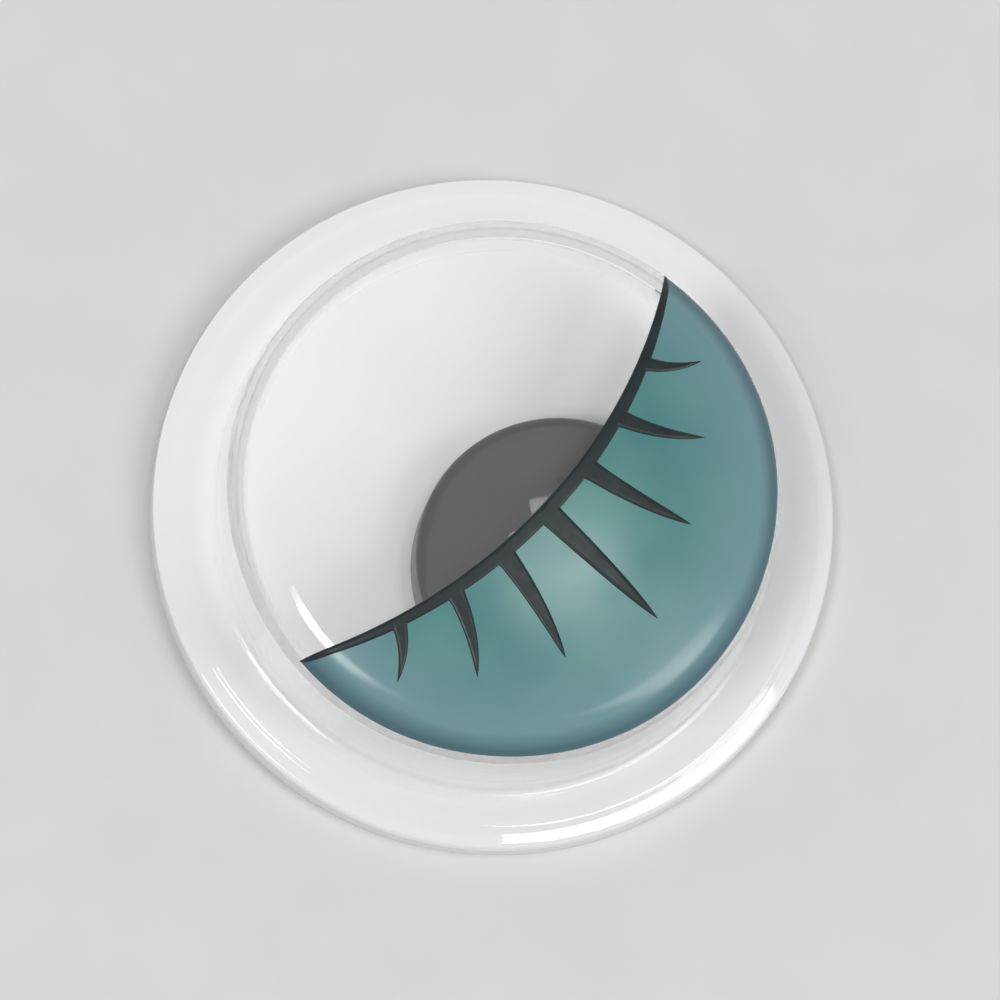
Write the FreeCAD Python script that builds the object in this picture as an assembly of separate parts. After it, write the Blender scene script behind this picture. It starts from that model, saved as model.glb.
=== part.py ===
import FreeCAD, Part
import math
import os

# Googly eye of 10 mm with a printed lid. A white plate closes the back, a clear formed dome with a flat ring
# round its foot is sealed onto it, and a black pupil lies loose between the two. The lid and its lashes are
# ink on the outside of the dome.
# Millimetres and degrees. The origin is the middle of the plate's back face, +Z points out through the dome
# and +Y points from the middle of the eye towards the lid.

Vector = FreeCAD.Vector

# Plate, punched from sheet together with the ring of the dome
plate_diameter = 10.0
plate_thickness = 0.4

# Dome, one film of even thickness; its radii are those of the outer face
film_thickness = 0.25
wall_foot_diameter = 8.35
wall_draft = 5.0
eye_height = 3.0
crown_radius = 17.0
shoulder_radius = 0.7

# Pupil, and the room that it keeps to the wall and the plate
pupil_diameter = 4.25
pupil_thickness = 0.9
pupil_rim_chamfer = 0.16
pupil_wall_gap = 0.5
pupil_plate_gap = 0.05

# Lid: how far it reaches round the shoulder, measured from upright, and its free edge, which is an arch
lid_ink_thickness = 0.05
lid_wrap_angle = 63.0
lid_corner_setback = 0.45
lid_arch_top = 0.6

# Lashes, spaced evenly along the free edge out of a dark stroke that narrows towards the corners
lash_ink_thickness = 0.05
liner_width = 0.22
liner_corner_width = 0.07
lash_pairs = 3
lash_spacing = 0.87
middle_lash_length = 2.35
outer_lash_length = 0.95
middle_lash_root_width = 0.36
outer_lash_root_width = 0.22
lash_tip_width = 0.06
lash_fullness = 1.2
outer_lash_lean = 46.0
lash_bow = 0.09

# Lines and centres that the dome, the pupil and the prints share
up = Vector(0, 0, 1)
plate_radius = plate_diameter / 2
ring_top = plate_thickness + film_thickness
draft = math.radians(wall_draft)
wall_normal = Vector(math.cos(draft), 0, math.sin(draft))
wall_rise = Vector(-math.sin(draft), 0, math.cos(draft))
wall_foot = Vector(wall_foot_diameter / 2, 0, ring_top)
crown_centre = Vector(0, 0, eye_height - crown_radius)
cutter_height = 2 * eye_height


def shoulder_place():
    """The centre of the shoulder's arc, which runs smoothly from the wall's line into the crown's arc."""
    start = wall_foot - wall_normal * shoulder_radius
    offset = start - crown_centre
    along = offset.dot(wall_rise)
    short = offset.dot(offset) - (crown_radius - shoulder_radius) ** 2
    return start + wall_rise * (math.sqrt(along**2 - short) - along)


shoulder_centre = shoulder_place()
crown_end_normal = (shoulder_centre - crown_centre).normalize()


def line(start, end):
    return Part.makeLine(start, end)


def arc(centre, radius, start, end):
    """The arc about a centre from one unit direction to another, the short way."""
    middle = (start + end).normalize()
    return Part.Arc(centre + start * radius, centre + middle * radius, centre + end * radius).toShape()


def turned(edges):
    """A closed half section turned about the eye's axis."""
    face = Part.Face(Part.Wire(edges))
    return face.revolve(Vector(0, 0, 0), up, 360)


def back_plate():
    """Flat disc, as wide as the ring of the dome."""
    return Part.makeCylinder(plate_radius, plate_thickness)


def dome_face(depth):
    """Half section of the dome this deep under its outer face: the crown, the shoulder and the wall."""
    shoulder = shoulder_radius - depth
    return [
        arc(crown_centre, crown_radius - depth, up, crown_end_normal),
        arc(shoulder_centre, shoulder, crown_end_normal, wall_normal),
        line(shoulder_centre + wall_normal * shoulder, wall_foot - wall_normal * depth),
    ]


def clear_dome():
    """The film between its outer and inner face, bent sharply at the foot into the flat ring.

    Inside the bend the film keeps its thickness, so there the corner is an arc about the foot of the wall.
    """
    ring_outside = [
        line(wall_foot, Vector(plate_radius, 0, ring_top)),
        line(Vector(plate_radius, 0, ring_top), Vector(plate_radius, 0, plate_thickness)),
        line(Vector(plate_radius, 0, plate_thickness), Vector(wall_foot.x, 0, plate_thickness)),
    ]
    foot_inside = arc(wall_foot, film_thickness, -up, -wall_normal)
    axis = line(Vector(0, 0, eye_height - film_thickness), Vector(0, 0, eye_height))
    return turned(dome_face(0) + ring_outside + [foot_inside] + dome_face(film_thickness)[::-1] + [axis])


def pupil():
    """Flat disc with a broken upper rim, pushed over to the lid's side."""
    foot = plate_thickness + pupil_plate_gap
    top = foot + pupil_thickness
    disc = Part.makeCylinder(pupil_diameter / 2, pupil_thickness, Vector(0, pupil_swing(top), foot))
    upper_rim = [edge for edge in disc.Edges if edge.Closed and edge.CenterOfMass.z > (foot + top) / 2]
    return disc.makeChamfer(pupil_rim_chamfer, upper_rim)


def pupil_swing(height):
    """How far the pupil's middle lies off the axis when its rim is one gap short of the wall there."""
    wall = wall_foot.x - (height - ring_top) * math.tan(draft) - film_thickness / math.cos(draft)
    return wall - pupil_wall_gap - pupil_diameter / 2


lid_end_normal = Vector(math.sin(math.radians(lid_wrap_angle)), 0, math.cos(math.radians(lid_wrap_angle)))
lid_corner_radius = (shoulder_centre + lid_end_normal * shoulder_radius).x
lid_corner = Vector(math.sqrt(lid_corner_radius**2 - lid_corner_setback**2), -lid_corner_setback, 0)


def ink_cap(floor, thickness):
    """A layer of ink over the crown and round the shoulder, this high above the dome's outer face."""
    roof = floor + thickness
    under = [
        arc(crown_centre, crown_radius + floor, up, crown_end_normal),
        arc(shoulder_centre, shoulder_radius + floor, crown_end_normal, lid_end_normal),
    ]
    over = [
        arc(shoulder_centre, shoulder_radius + roof, lid_end_normal, crown_end_normal),
        arc(crown_centre, crown_radius + roof, crown_end_normal, up),
    ]
    end = line(
        shoulder_centre + lid_end_normal * (shoulder_radius + floor),
        shoulder_centre + lid_end_normal * (shoulder_radius + roof),
    )
    axis = line(Vector(0, 0, eye_height + roof), Vector(0, 0, eye_height + floor))
    return turned(under + [end] + over + [axis])


def arch_radius(top, corner_y):
    """The radius of the arch that stands this high on the axis and ends at both corners of the lid."""
    rise = top - corner_y
    return (lid_corner.x**2 + rise**2) / (2 * rise)


def below_arch(top, corner_y):
    """The upright round cutter whose edge is that arch, over the eye's open side."""
    radius = arch_radius(top, corner_y)
    return Part.makeCylinder(radius, cutter_height, Vector(0, top - radius, 0))


def free_edge_height(x):
    """Where the free edge lies at this distance from the middle."""
    radius = arch_radius(lid_arch_top, lid_corner.y)
    return lid_arch_top - radius + math.sqrt(radius**2 - x**2)


def eyelid_print():
    """The cap of ink without the side that the free edge leaves open."""
    return ink_cap(0, lid_ink_thickness).cut(below_arch(lid_arch_top, lid_corner.y))


def lash(number):
    """One lash seen from above, raised to a cutter: two full, bowed sides from the root to a blunt tip."""
    share = number / lash_pairs
    lean = math.radians(outer_lash_lean * share)
    length = middle_lash_length + (outer_lash_length - middle_lash_length) * abs(share)
    root_width = middle_lash_root_width + (outer_lash_root_width - middle_lash_root_width) * abs(share)
    along = Vector(math.sin(lean), math.cos(lean), 0)
    across = Vector(math.cos(lean), -math.sin(lean), 0)
    root = Vector(number * lash_spacing, free_edge_height(number * lash_spacing) + liner_corner_width, 0)
    waist = root + along * (length / 2) - across * (lash_bow * length * share)
    tip = root + along * length
    root_side = across * (root_width / 2)
    waist_side = across * (lash_fullness * (root_width + lash_tip_width) / 4)
    tip_side = across * (lash_tip_width / 2)
    blade = Part.Wire(
        [
            Part.Arc(root - root_side, waist - waist_side, tip - tip_side).toShape(),
            line(tip - tip_side, tip + tip_side),
            Part.Arc(tip + tip_side, waist + waist_side, root + root_side).toShape(),
            line(root + root_side, root - root_side),
        ]
    )
    return Part.Face(blade).extrude(up * cutter_height)


def lash_print():
    """The stroke along the free edge and the lashes that grow out of it, laid on the lid as one film."""
    stroke = below_arch(lid_arch_top + liner_width, lid_corner.y + liner_corner_width)
    lashes = [lash(number) for number in range(-lash_pairs, lash_pairs + 1)]
    pattern = stroke.fuse(lashes).cut(below_arch(lid_arch_top, lid_corner.y))
    return ink_cap(lid_ink_thickness, lash_ink_thickness).common(pattern)


def one_solid(shape):
    """The solid that a cut or a fusion returns, with the seams that it left in the faces taken out."""
    return shape.removeSplitter().Solids[0]


parts = {
    "back_plate": back_plate(),
    "clear_dome": clear_dome(),
    "pupil": pupil(),
    "eyelid_print": eyelid_print(),
    "lash_print": lash_print(),
}

os.makedirs("parts", exist_ok=True)
for name, shape in parts.items():
    one_solid(shape).exportStep(f"parts/{name}.step")
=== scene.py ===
import bmesh
import bpy
import math
import numpy as np
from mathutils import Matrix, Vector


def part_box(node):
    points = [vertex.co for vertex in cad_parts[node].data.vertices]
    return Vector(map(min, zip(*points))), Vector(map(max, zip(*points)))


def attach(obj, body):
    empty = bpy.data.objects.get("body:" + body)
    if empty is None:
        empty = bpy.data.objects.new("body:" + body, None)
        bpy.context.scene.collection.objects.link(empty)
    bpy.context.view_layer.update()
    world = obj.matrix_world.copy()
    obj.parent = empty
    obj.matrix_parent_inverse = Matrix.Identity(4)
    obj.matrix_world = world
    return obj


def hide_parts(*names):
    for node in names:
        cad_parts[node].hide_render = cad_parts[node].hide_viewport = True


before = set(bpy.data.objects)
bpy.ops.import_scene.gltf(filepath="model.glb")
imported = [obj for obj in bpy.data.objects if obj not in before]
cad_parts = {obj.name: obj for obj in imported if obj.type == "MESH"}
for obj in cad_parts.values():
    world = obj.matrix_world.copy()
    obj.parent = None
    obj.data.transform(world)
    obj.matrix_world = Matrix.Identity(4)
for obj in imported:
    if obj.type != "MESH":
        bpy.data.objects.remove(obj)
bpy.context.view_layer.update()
mm = 0.001


# Back plate: a disc punched out of white plastic sheet, satin on both faces. The punch rounds the edge
# where it goes in and leaves a narrow dull band on the side. It closes the eye and takes the glue.
plate_radius, _, plate_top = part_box("back_plate")[1]
plate_lower_round = 0.07 * mm
plate_upper_round = 0.015 * mm
ring_shade_start = 4.2 * mm
ring_shade_end = 4.45 * mm


def run(start, end, count):
    """Points on a straight line in half section: start + t (end - start), t from 0 to 1, ends included."""
    t = np.linspace(0, 1, count)[:, None]
    return np.array(start) + t * (np.array(end) - np.array(start))


def bend(centre, radius, start, end, count):
    """Points on an arc in half section: centre + radius (cos t, sin t), t from start to end in degrees."""
    t = np.radians(np.linspace(start, end, count))[:, None]
    return np.array(centre) + radius * np.hstack([np.cos(t), np.sin(t)])


def piece_from(name, points, faces):
    """A smooth-shaded piece from an array of points and an array of faces, with doubles merged."""
    mesh = bpy.data.meshes.new(name)
    mesh.from_pydata(points.tolist(), [], faces.tolist())
    shell = bmesh.new()
    shell.from_mesh(mesh)
    bmesh.ops.remove_doubles(shell, verts=shell.verts, dist=1e-8)
    shell.to_mesh(mesh)
    shell.free()
    mesh.shade_smooth()
    piece = bpy.data.objects.new(name, mesh)
    bpy.context.collection.objects.link(piece)
    return piece


def grid_faces(rows, columns, closed):
    """Quads of a grid of points stored row by row; closed joins the last column to the first."""
    i, j = np.meshgrid(np.arange(rows - 1), np.arange(columns if closed else columns - 1), indexing="ij")
    after = (j + 1) % columns
    corners = [i * columns + j, (i + 1) * columns + j, (i + 1) * columns + after, i * columns + after]
    return np.stack(corners, axis=-1).reshape(-1, 4)


def turned(name, section, around=256, shift=None):
    """A half section (r, z) carried round the axis: (r cos a, r sin a, z).

    The section starts on the axis at the top and ends on the axis, going outward first, so that faces
    point out of the solid. shift moves the finished points: it takes and returns an array of x, y, z.
    """
    angle = np.linspace(0, 2 * np.pi, around, endpoint=False)
    radius, height = section[:, :1], section[:, 1:]
    points = np.stack(
        [radius * np.cos(angle), radius * np.sin(angle), np.broadcast_to(height, (len(section), around))],
        axis=-1,
    ).reshape(-1, 3)
    if shift is not None:
        points = shift(points)
    return piece_from(name, points, grid_faces(len(section), around, True))


def surface(name, colour, roughness):
    """A new material, its tree and its shader, with its plain colour and roughness on the sockets."""
    material = bpy.data.materials.new(name)
    material.use_nodes = True
    shader = material.node_tree.nodes["Principled BSDF"]
    shader.inputs["Base Color"].default_value = (*colour, 1)
    shader.inputs["Roughness"].default_value = roughness
    return material, material.node_tree, shader


def noise(tree, size, detail=2):
    """Noise on the piece's own coordinates with features of this size in metres; returns its value."""
    place = tree.nodes.new("ShaderNodeTexCoord")
    texture = tree.nodes.new("ShaderNodeTexNoise")
    texture.inputs["Scale"].default_value = 1 / size
    texture.inputs["Detail"].default_value = detail
    tree.links.new(place.outputs["Object"], texture.inputs["Vector"])
    return texture.outputs["Fac"]


def spread(tree, value, low, high, start=0.3, end=0.7):
    """Stretches a value from the range start to end onto the range low to high."""
    remap = tree.nodes.new("ShaderNodeMapRange")
    remap.inputs["From Min"].default_value = start
    remap.inputs["From Max"].default_value = end
    remap.inputs["To Min"].default_value = low
    remap.inputs["To Max"].default_value = high
    tree.links.new(value, remap.inputs["Value"])
    return remap.outputs["Result"]


def tint(tree, value, first, second):
    """Runs from the first colour to the second as the value runs from 0 to 1."""
    ramp = tree.nodes.new("ShaderNodeValToRGB")
    ramp.color_ramp.elements[0].color = (*first, 1)
    ramp.color_ramp.elements[1].color = (*second, 1)
    tree.links.new(value, ramp.inputs["Fac"])
    return ramp.outputs["Color"]


def from_axis(tree):
    """The distance from the eye's axis on the piece's own coordinates."""
    place = tree.nodes.new("ShaderNodeTexCoord")
    flatten = tree.nodes.new("ShaderNodeMapping")
    flatten.inputs["Scale"].default_value = (1, 1, 0)
    length = tree.nodes.new("ShaderNodeVectorMath")
    length.operation = "LENGTH"
    tree.links.new(place.outputs["Object"], flatten.inputs["Vector"])
    tree.links.new(flatten.outputs["Vector"], length.inputs[0])
    return length.outputs["Value"]


def mixed(tree, value, first, second):
    """Runs from a colour that varies to a plain one as the value runs from 0 to 1."""
    mix = tree.nodes.new("ShaderNodeMix")
    mix.data_type = "RGBA"
    mix.inputs["B"].default_value = (*second, 1)
    tree.links.new(value, mix.inputs["Factor"])
    tree.links.new(first, mix.inputs["A"])
    return mix.outputs["Result"]


def relief(tree, shader, value, depth):
    """Bump of this depth in metres on the shader."""
    bump = tree.nodes.new("ShaderNodeBump")
    bump.inputs["Distance"].default_value = depth
    tree.links.new(value, bump.inputs["Height"])
    tree.links.new(bump.outputs["Normal"], shader.inputs["Normal"])


plate_section = np.vstack(
    [
        run((0, plate_top), (plate_radius - plate_upper_round, plate_top), 24),
        bend((plate_radius - plate_upper_round, plate_top - plate_upper_round), plate_upper_round, 90, 0, 5),
        bend((plate_radius - plate_lower_round, plate_lower_round), plate_lower_round, 0, -90, 10),
        run((plate_radius - plate_lower_round, 0), (0, 0), 24)[1:],
    ]
)
plate = turned("plate_disc", plate_section)
plate_white, tree, shader = surface("white_sheet", (0.87, 0.87, 0.865), 0.4)
cloudy = spread(tree, noise(tree, 2.5 * mm), 0, 1)
open_white = tint(tree, cloudy, (0.85, 0.85, 0.85), (0.885, 0.885, 0.875))
# Under the ring the white turns greyer, from ring_shade_start to ring_shade_end: partly the glue seal's own
# tone and partly painted shade on the ring.
sealed_and_shaded_ring = spread(tree, from_axis(tree), 0, 1, ring_shade_start, ring_shade_end)
tree.links.new(mixed(tree, sealed_and_shaded_ring, open_white, (0.8, 0.8, 0.805)), shader.inputs["Base Color"])
tree.links.new(spread(tree, noise(tree, 0.25 * mm, 3), 0.34, 0.48), shader.inputs["Roughness"])
relief(tree, shader, noise(tree, 0.06 * mm, 3), 0.002 * mm)
plate.data.materials.append(plate_white)
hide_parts("back_plate")
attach(plate, "capsule")


# Pupil: a loose disc punched out of black sheet, half gloss, its upper rim drawn round by the punch. It
# slides about on the plate and lies against the lid's side.
pupil_low, pupil_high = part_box("pupil")
pupil_radius = (pupil_high.x - pupil_low.x) / 2
pupil_middle = (pupil_low + pupil_high) / 2
pupil_rim_round = 0.16 * mm
pupil_foot_round = 0.03 * mm

pupil_section = np.vstack(
    [
        run((0, pupil_high.z), (pupil_radius - pupil_rim_round, pupil_high.z), 20),
        bend((pupil_radius - pupil_rim_round, pupil_high.z - pupil_rim_round), pupil_rim_round, 90, 0, 14),
        bend((pupil_radius - pupil_foot_round, pupil_low.z + pupil_foot_round), pupil_foot_round, 0, -90, 6),
        run((pupil_radius - pupil_foot_round, pupil_low.z), (0, pupil_low.z), 16)[1:],
    ]
)
pupil = turned("pupil_disc", pupil_section, 192, lambda points: points + [0, pupil_middle.y, 0])
pupil_black, tree, shader = surface("black_sheet", (0.029, 0.028, 0.031), 0.3)
mottled = spread(tree, noise(tree, 0.9 * mm), 0, 1)
uneven_black = tint(tree, mottled, (0.026, 0.025, 0.028), (0.032, 0.031, 0.034))
tree.links.new(uneven_black, shader.inputs["Base Color"])
tree.links.new(spread(tree, noise(tree, 0.6 * mm), 0.27, 0.36), shader.inputs["Roughness"])
relief(tree, shader, noise(tree, 0.4 * mm, 1), 0.002 * mm)
pupil.data.materials.append(pupil_black)
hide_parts("pupil")
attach(pupil, "loose_pupil")


# Dome: one clear film, vacuum formed into a round well and sealed by its flat ring to the plate. The
# film is of even thickness, bends tightly at the foot and is left very slightly wavy by the forming.
dome_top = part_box("clear_dome")[1].z
film = 0.25 * mm
ring_top = plate_top + film
crown_radius = 17 * mm
shoulder_radius = 0.7 * mm
wall_foot_radius = 4.175 * mm
wall_draft = math.radians(5)
foot_round = 0.06 * mm
ring_round = 0.06 * mm
seal_depth = 0.008 * mm
seal_radius = 4.7 * mm
seal_sink = 0.035 * mm
seal_step = 0.1 * mm
crown_wave = 0.004 * mm
wall_wave = 0.012 * mm

# The half section's centres: the shoulder's arc touches the crown's arc and the drafted wall from inside
crown_z = dome_top - crown_radius
normal = np.array([math.cos(wall_draft), math.sin(wall_draft)])
rise = np.array([-math.sin(wall_draft), math.cos(wall_draft)])
wall_foot = np.array([wall_foot_radius, ring_top])
start = wall_foot - shoulder_radius * normal - [0, crown_z]
along = start @ rise
climb = math.sqrt(along**2 - start @ start + (crown_radius - shoulder_radius) ** 2) - along
shoulder_r, shoulder_z = start + [0, crown_z] + rise * climb
crown_turn = math.atan2(shoulder_r, shoulder_z - crown_z)
wall_turn = math.pi / 2 - wall_draft
foot_climb = foot_round * (1 - math.sin(wall_draft)) / math.cos(wall_draft)
foot_r, foot_z = wall_foot + rise * foot_climb + normal * foot_round
crown_length = crown_radius * crown_turn
shoulder_length = shoulder_radius * (wall_turn - crown_turn)
wall_length = (shoulder_z + shoulder_radius * normal[1] - wall_foot[1]) / rise[1] - foot_climb


def dome_section(distance, lift):
    """Radius and height on the dome this far down from its top, lifted off the outer face.

    The crown is an arc about the axis, the shoulder an arc about its own centre, and the wall is straight.
    """
    on_crown = distance < crown_length
    shoulder_part = crown_turn + (distance - crown_length) / shoulder_radius
    turn = np.where(on_crown, distance / crown_radius, np.minimum(shoulder_part, wall_turn))
    reach = np.where(on_crown, crown_radius, shoulder_radius) + lift
    down = np.maximum(distance - crown_length - shoulder_length, 0)
    radius = np.where(on_crown, 0, shoulder_r) + reach * np.sin(turn) + down * math.sin(wall_draft)
    height = np.where(on_crown, crown_z, shoulder_z) + reach * np.cos(turn) - down * math.cos(wall_draft)
    return radius, height


def waved(points):
    """Forming waves: ripples 3 to 5 mm long sink the crown, and five soft lobes push the wall in and out.

    The ripples are products and sums of sines of x and y, and the lobes sums of sines of the angle. Both
    fade to nothing down at the ring, as the share of the height above it, and the lobes also fade inward.
    """
    x, y, z = points.T
    share = np.clip((z - ring_top) / (dome_top - ring_top), 0, 1)
    ripple = np.sin(x / mm * 1.9 + 0.8) * np.sin(y / mm * 1.6 - 0.5) + 0.6 * np.sin((x - y) / mm * 1.3)
    angle = np.arctan2(y, x)
    lobe = np.sin(5 * angle + 1.1) + 0.5 * np.sin(3 * angle - 0.4)
    radius = np.hypot(x, y)
    at_wall = np.clip(radius / shoulder_r, 0, 1) ** 6
    outward = 1 + share * wall_wave * lobe * at_wall / np.maximum(radius, film)
    return np.stack([x * outward, y * outward, z - share**2 * crown_wave * (1 + ripple / 2)], axis=1)


down_the_dome = np.concatenate(
    [
        np.linspace(0, crown_length, 40, endpoint=False),
        crown_length + np.linspace(0, shoulder_length, 28, endpoint=False),
        crown_length + shoulder_length + np.linspace(0, wall_length, 16),
    ]
)
outside = np.stack(dome_section(down_the_dome, 0), axis=1)
inside = np.stack(dome_section(down_the_dome, -film), axis=1)
across_seal = np.linspace(0, 1, 9)
seal_r = seal_radius + seal_step * across_seal
seal_z = ring_top - seal_sink * (1 - np.cos(np.pi * across_seal)) / 2
underside = plate_top - seal_depth
wall_end = 180 + math.degrees(wall_draft)
film_section = np.vstack(
    [
        outside,
        bend((foot_r, foot_z), foot_round, wall_end, 270, 10)[1:],
        run((foot_r, ring_top), (seal_radius, ring_top), 10)[1:-1],
        np.stack([seal_r, seal_z], axis=1),
        bend((plate_radius - ring_round, ring_top - seal_sink - ring_round), ring_round, 90, 0, 9),
        run((plate_radius, underside), (foot_r, underside), 14),
        bend((foot_r, foot_z), foot_round + film, 270, wall_end, 16)[1:-1],
        inside[::-1],
    ]
)
film_section[:, 1] = np.maximum(film_section[:, 1], underside)
dome = turned("dome_film", film_section, 320, waved)
film_clear, tree, shader = surface("clear_film", (0.985, 0.99, 0.99), 0.03)
shader.inputs["Transmission Weight"].default_value = 1
shader.inputs["IOR"].default_value = 1.46
relief(tree, shader, noise(tree, 0.9 * mm, 1), 0.002 * mm)


def blended(tree, factor, first, second):
    """One shader that runs from the first to the second as the factor, a number or an output, nears 1."""
    mix = tree.nodes.new("ShaderNodeMixShader")
    if isinstance(factor, float):
        mix.inputs["Fac"].default_value = factor
    else:
        tree.links.new(factor, mix.inputs["Fac"])
    tree.links.new(first, mix.inputs[1])
    tree.links.new(second, mix.inputs[2])
    return mix.outputs["Shader"]


def lets_light_out(tree, shader, share):
    """Lamp light and bounced light pass a clear film straight, and what is seen through it bends.

    This share of the light that a face of the film throws back into it gets out at its next face, because
    light that stays caught in the film is lost and leaves black lines.
    """
    rays = tree.nodes.new("ShaderNodeLightPath").outputs
    straight = tree.nodes.new("ShaderNodeBsdfTransparent").outputs["BSDF"]
    bent = shader.outputs["BSDF"]
    thrown_back = blended(tree, share, bent, straight)
    mirrored = blended(tree, rays["Is Transmission Ray"], thrown_back, bent)
    seen = blended(tree, rays["Is Glossy Ray"], bent, mirrored)
    for ray in ("Is Shadow Ray", "Is Diffuse Ray"):
        seen = blended(tree, rays[ray], seen, straight)
    tree.links.new(seen, tree.nodes["Material Output"].inputs["Surface"])


lets_light_out(tree, shader, 0.6)
dome.data.materials.append(film_clear)
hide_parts("clear_dome")
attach(dome, "capsule")


# Lid: teal ink printed over the crown and down the shoulder, with an arched free edge. The ink is thin
# and even on the crown, gets paler outward from the axis, and ends in a darker rim.
lid_ink = 0.02 * mm
ink_gap = 0.0015 * mm
ink_edge = 0.05 * mm
lid_wrap = math.radians(63)
lid_setback = 0.45 * mm
lid_arch_top = 0.6 * mm
pale_out_start, pale_out_end = 2.3 * mm, 3.7 * mm
rim_start, rim_end = 3.72 * mm, 3.93 * mm
lid_end = crown_length + shoulder_radius * (lid_wrap - crown_turn)
lid_end_radius = float(dome_section(np.array(lid_end), 0)[0])
lid_corner_x = math.sqrt(lid_end_radius**2 - lid_setback**2)


def arch_height(x, top, corner_y):
    """Height of y at x on the circle that stands at top on the axis and passes both corners of the lid."""
    climb = top - corner_y
    radius = (lid_corner_x**2 + climb**2) / (2 * climb)
    return top - radius + np.sqrt(radius**2 - x**2)


def distance_down(radius):
    """How far down from the top of the dome its outer face has this radius, on crown or shoulder."""
    on_crown = crown_radius * np.arcsin(np.minimum(radius / crown_radius, 1))
    share = np.clip((radius - shoulder_r) / shoulder_radius, 0, 1)
    on_shoulder = crown_length + shoulder_radius * (np.arcsin(share) - crown_turn)
    return np.where(radius < shoulder_r + shoulder_radius * math.sin(crown_turn), on_crown, on_shoulder)


def on_dome(distance, angle, lift):
    """The point this far down the dome at this angle from +Y, lifted off its outer face, with its waves."""
    radius, height = dome_section(distance, lift)
    points = np.stack([radius * np.sin(angle), radius * np.cos(angle), height], axis=-1)
    return waved(points.reshape(-1, 3)).reshape(points.shape)


def swell(distance, reached=ink_edge):
    """Share of the full size this far inside an edge: a quarter circle up to where it is reached, then 1."""
    return np.sqrt(1 - (1 - np.clip(distance / reached, 0, 1)) ** 2)


def ink_skin(name, distance, angle, lift, thickness):
    """Two grids over the same places on the dome, the ink's underside and its face, joined at the edge."""
    face = on_dome(distance, angle, lift + thickness)
    under = on_dome(distance, angle, lift)
    rows, columns = distance.shape
    faces = grid_faces(rows, columns, False)
    points = np.concatenate([face.reshape(-1, 3), under.reshape(-1, 3)])
    return piece_from(name, points, np.concatenate([faces, faces[:, ::-1] + rows * columns]))


# The lid's grid runs straight from the free edge to the rim on the dome rolled out flat about its top
across = np.sin(np.linspace(-np.pi / 2, np.pi / 2, 161))[:, None]
edge_x = across * lid_corner_x
edge_y = arch_height(edge_x, lid_arch_top, -lid_setback)
edge_down = distance_down(np.hypot(edge_x, edge_y))
edge_angle = np.arctan2(edge_x, edge_y)
rim_angle = across * math.atan2(lid_corner_x, -lid_setback)
part_way = (1 - np.cos(np.linspace(0, np.pi, 81)))[None, :] / 2
flat_x = (1 - part_way) * edge_down * np.sin(edge_angle) + part_way * lid_end * np.sin(rim_angle)
flat_y = (1 - part_way) * edge_down * np.cos(edge_angle) + part_way * lid_end * np.cos(rim_angle)
lid_width = np.hypot(flat_x[:, -1:] - flat_x[:, :1], flat_y[:, -1:] - flat_y[:, :1])
to_edge = np.minimum(part_way, 1 - part_way) * lid_width
lid = ink_skin(
    "eyelid_ink",
    np.hypot(flat_x, flat_y),
    np.arctan2(flat_x, flat_y),
    ink_gap,
    lid_ink * swell(to_edge),
)
ink_teal, tree, shader = surface("teal_ink", (0.075, 0.225, 0.215), 0.22)
clouds = spread(tree, noise(tree, 1.3 * mm), 0, 1)
body = tint(tree, clouds, (0.05, 0.19, 0.195), (0.072, 0.24, 0.205))
# The teal turns paler outward, from pale_out_start to pale_out_end from the axis.
paler_outward = spread(tree, from_axis(tree), 0, 1, pale_out_start, pale_out_end)
paler = mixed(tree, paler_outward, body, (0.132, 0.262, 0.286))
at_rim = spread(tree, from_axis(tree), 0, 1, rim_start, rim_end)
tree.links.new(mixed(tree, at_rim, paler, (0.05, 0.13, 0.16)), shader.inputs["Base Color"])
tree.links.new(spread(tree, noise(tree, 0.7 * mm), 0.19, 0.25), shader.inputs["Roughness"])
relief(tree, shader, noise(tree, 0.6 * mm, 1), 0.001 * mm)
lid.data.materials.append(ink_teal)
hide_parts("eyelid_print")
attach(lid, "capsule")


# Lashes: black ink printed over the lid, a stroke along the free edge with seven lashes that grow out of
# it and fan outward. The stroke narrows to nothing at the lid's corners and each lash to a fine tip.
lash_ink = 0.02 * mm
stroke_middle_width = 0.22 * mm
stroke_corner_width = 0.07 * mm
stroke_corner_length = 0.3 * mm
lash_pairs = 3
lash_spacing = 0.87 * mm
lash_length = (2.35 * mm, 0.95 * mm)
lash_root_width = (0.36 * mm, 0.22 * mm)
lash_lean = math.radians(46)
lash_bow = 0.09
lash_taper = 0.8
least_length = 0.3 * mm


def from_middle(pair, share):
    """Runs from the middle lash's value to the outer lash's with the share of the way out."""
    return pair[0] + (pair[1] - pair[0]) * np.abs(share)


def stroke_width(x):
    """Width of the stroke at this place on the free edge: the gap of two arches, closed at the corners."""
    roof = arch_height(x, lid_arch_top + stroke_middle_width, stroke_corner_width - lid_setback)
    gap = roof - arch_height(x, lid_arch_top, -lid_setback)
    return gap * swell(lid_corner_x - np.abs(x), stroke_corner_length)


def lash_reach(x):
    """How far the black reaches into the lid from this place on its free edge, along the fan's lines.

    A lash of half width w and length l reaches l (1 - (d / w)^(1 / taper)) at the distance d from its
    middle. The reach of the stroke and the lashes together is the cube root of the sum of their cubes.
    """
    reach = stroke_width(x) ** 3
    for number in range(-lash_pairs, lash_pairs + 1):
        share = number / lash_pairs
        half_width = from_middle(lash_root_width, share) / 2
        beside = np.clip(np.abs(x - number * lash_spacing) / half_width, 0, 1)
        reach = reach + (from_middle(lash_length, share) * (1 - beside ** (1 / lash_taper))) ** 3
    return reach ** (1 / 3)


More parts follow.
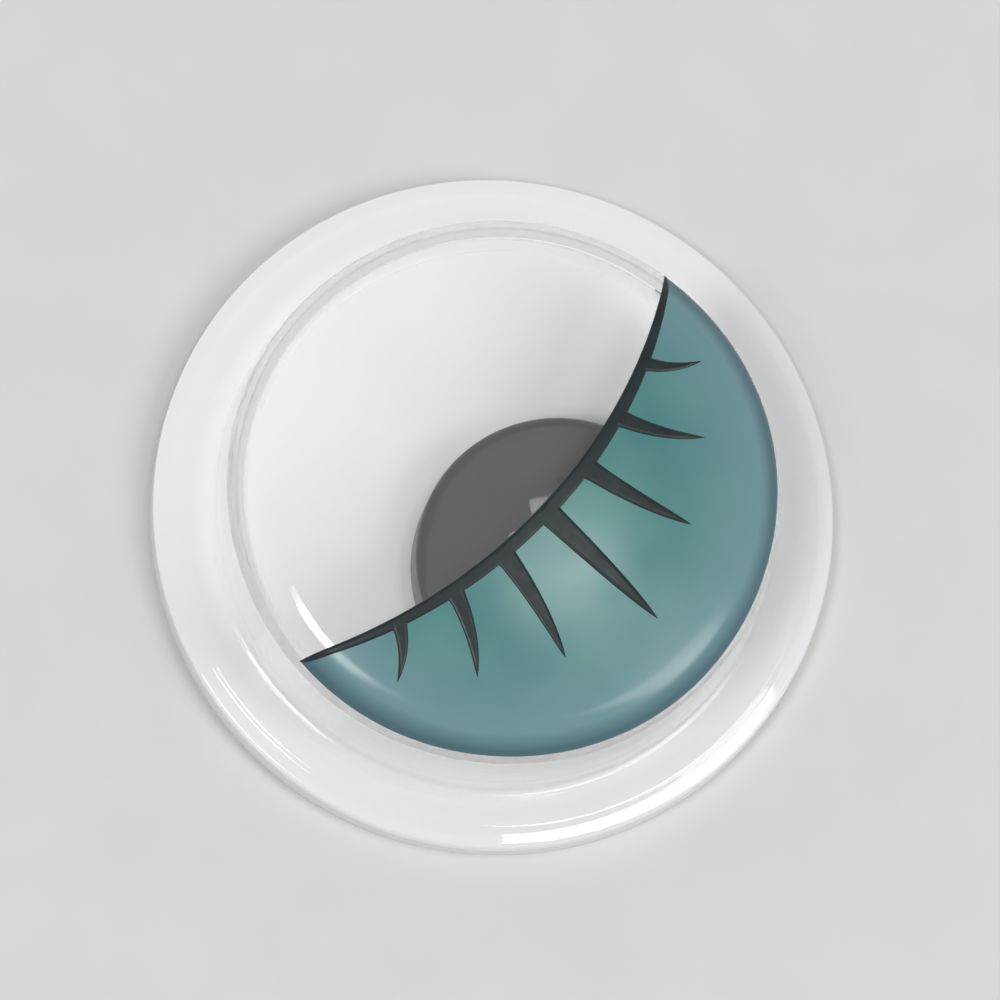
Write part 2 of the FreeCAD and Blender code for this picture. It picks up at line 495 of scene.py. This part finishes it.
# Places along the free edge: even ones, and many at each lash to just past its sides, closer at its middle
past_sides = 1.2
edge_places = [lid_corner_x * np.sin(np.linspace(-np.pi / 2, np.pi / 2, 241))]
for number in range(-lash_pairs, lash_pairs + 1):
    half_width = from_middle(lash_root_width, number / lash_pairs) / 2
    beside = half_width * past_sides * np.linspace(0, 1, 45) ** lash_taper
    edge_places.append(number * lash_spacing + np.concatenate([-beside[::-1], beside[1:]]))
edge_x = np.unique(np.round(np.concatenate(edge_places), 9))[:, None]
edge_y = arch_height(edge_x, lid_arch_top, -lid_setback)

# From each place a line of the fan runs inward as far as the black does, leaning and bowed outward
reach = lash_reach(edge_x)
inward = reach * (1 - np.cos(np.linspace(0, np.pi, 33)))[None, :] / 2
share = edge_x / (lash_pairs * lash_spacing)
lean = lash_lean * share
length = np.maximum(from_middle(lash_length, share), least_length)
bow = lash_bow * share * 4 * inward * (1 - np.minimum(inward / length, 1))
plan_x = edge_x + inward * np.sin(lean) - bow * np.cos(lean)
plan_y = edge_y + inward * np.cos(lean) + bow * np.sin(lean)
plan_radius = np.minimum(np.hypot(plan_x, plan_y), lid_end_radius)

# The ink thins towards the nearest edge: a lash's side, the stroke's inner side or the free edge
slope = np.gradient(reach[:, 0], edge_x[:, 0])[:, None]
to_side = np.maximum((reach - inward) / np.sqrt(1 + slope**2), stroke_width(edge_x) - inward)
lashes = ink_skin(
    "lash_ink",
    distance_down(plan_radius),
    np.arctan2(plan_x, plan_y),
    lid_ink * swell(inward),
    (ink_gap + lash_ink) * swell(np.minimum(to_side, inward)),
)
ink_black, tree, shader = surface("black_ink", (0.007, 0.015, 0.018), 0.34)
shader.inputs["Specular IOR Level"].default_value = 0.3
thin = spread(tree, noise(tree, 0.35 * mm, 3), 0, 1)
uneven_black = tint(tree, thin, (0.005, 0.011, 0.013), (0.01, 0.021, 0.025))
tree.links.new(uneven_black, shader.inputs["Base Color"])
tree.links.new(spread(tree, noise(tree, 0.15 * mm, 3), 0.28, 0.4), shader.inputs["Roughness"])
relief(tree, shader, noise(tree, 0.25 * mm, 1), 0.001 * mm)
lashes.data.materials.append(ink_black)
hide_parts("lash_print")
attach(lashes, "capsule")


# Floor: a plain pale board that the eye lies on, wide enough to fill the view from any side. It isn't part
# of the eye, and only keeps its shadow.
floor_size = 0.6
bpy.ops.mesh.primitive_plane_add(size=floor_size)
floor = bpy.context.object
floor.name = "floor"
pale_board, tree, shader = surface("pale_board", (0.66, 0.66, 0.655), 0.6)
speckled = spread(tree, noise(tree, 1.5 * mm, 3), 0, 1)
pale = tint(tree, speckled, (0.65, 0.65, 0.645), (0.67, 0.67, 0.665))
tree.links.new(pale, shader.inputs["Base Color"])
floor.data.materials.append(pale_board)


# Camera: nearly straight above, far back with a long lens, and rolled as the photograph shows the eye, with
# the lid at the lower right. It looks at the middle of the dome.
view_azimuth = math.radians(107)
view_elevation = math.radians(76.5)
view_roll = math.radians(26)
view_distance = 0.4
view_width = 14.6 * mm
aim = np.array([0, 0, dome_top / 2])


def towards(azimuth, elevation):
    """Direction out from the eye: azimuth turns it from -Y towards +X, elevation lifts it off the floor."""
    level = math.cos(elevation)
    return np.array([math.sin(azimuth) * level, -math.cos(azimuth) * level, math.sin(elevation)])


camera = bpy.data.objects.new("camera", bpy.data.cameras.new("camera"))
bpy.context.collection.objects.link(camera)
bpy.context.scene.camera = camera
camera.location = aim + towards(view_azimuth, view_elevation) * view_distance
camera.rotation_euler = (math.pi / 2 - view_elevation, 0, view_azimuth)
camera.rotation_euler.rotate_axis("Z", view_roll)
camera.data.lens = camera.data.sensor_width * view_distance / view_width
camera.data.clip_start = 0.01
camera.data.clip_end = 5


# Light: three soft boxes, which draw the streak on the shoulder, the spot at the lid's corner and the glow
# between the lashes, and a pale surround that is brightest at the horizon.
def soft_box(name, azimuth, elevation, distance, size, watts):
    """A lamp of this width and height that faces the eye, placed by its azimuth and elevation in degrees."""
    turn, tilt = math.radians(azimuth), math.radians(elevation)
    lamp = bpy.data.objects.new(name, bpy.data.lights.new(name, "AREA"))
    bpy.context.collection.objects.link(lamp)
    lamp.location = towards(turn, tilt) * distance
    lamp.rotation_euler = (math.pi / 2 - tilt, 0, turn)
    lamp.data.shape = "RECTANGLE"
    lamp.data.size, lamp.data.size_y = size
    lamp.data.energy = watts


soft_box("key", 73, 63, 0.3, (0.08, 0.1), 0.28)
soft_box("lid_light", 195, 48, 0.3, (0.1, 0.2), 0.32)
soft_box("ceiling", 237, 78, 0.35, (0.06, 0.06), 0.1)

world = bpy.data.worlds.new("studio")
bpy.context.scene.world = world
world.use_nodes = True
tree = world.node_tree
room = tree.nodes["Background"]
room.inputs["Color"].default_value = (1, 1, 1, 1)
room.inputs["Strength"].default_value = 0.4
backdrop = tree.nodes.new("ShaderNodeBackground")
direction = tree.nodes.new("ShaderNodeTexCoord")
split = tree.nodes.new("ShaderNodeSeparateXYZ")
tree.links.new(direction.outputs["Generated"], split.inputs["Vector"])
tree.links.new(tint(tree, split.outputs["Z"], (1, 1, 1), (0.75, 0.75, 0.75)), backdrop.inputs["Color"])
rays = tree.nodes.new("ShaderNodeLightPath").outputs
surround = room.outputs["Background"]
for ray in ("Is Camera Ray", "Is Glossy Ray", "Is Transmission Ray"):
    surround = blended(tree, rays[ray], surround, backdrop.outputs["Background"])
tree.links.new(surround, tree.nodes["World Output"].inputs["Surface"])
bpy.context.scene.view_settings.view_transform = "Standard"
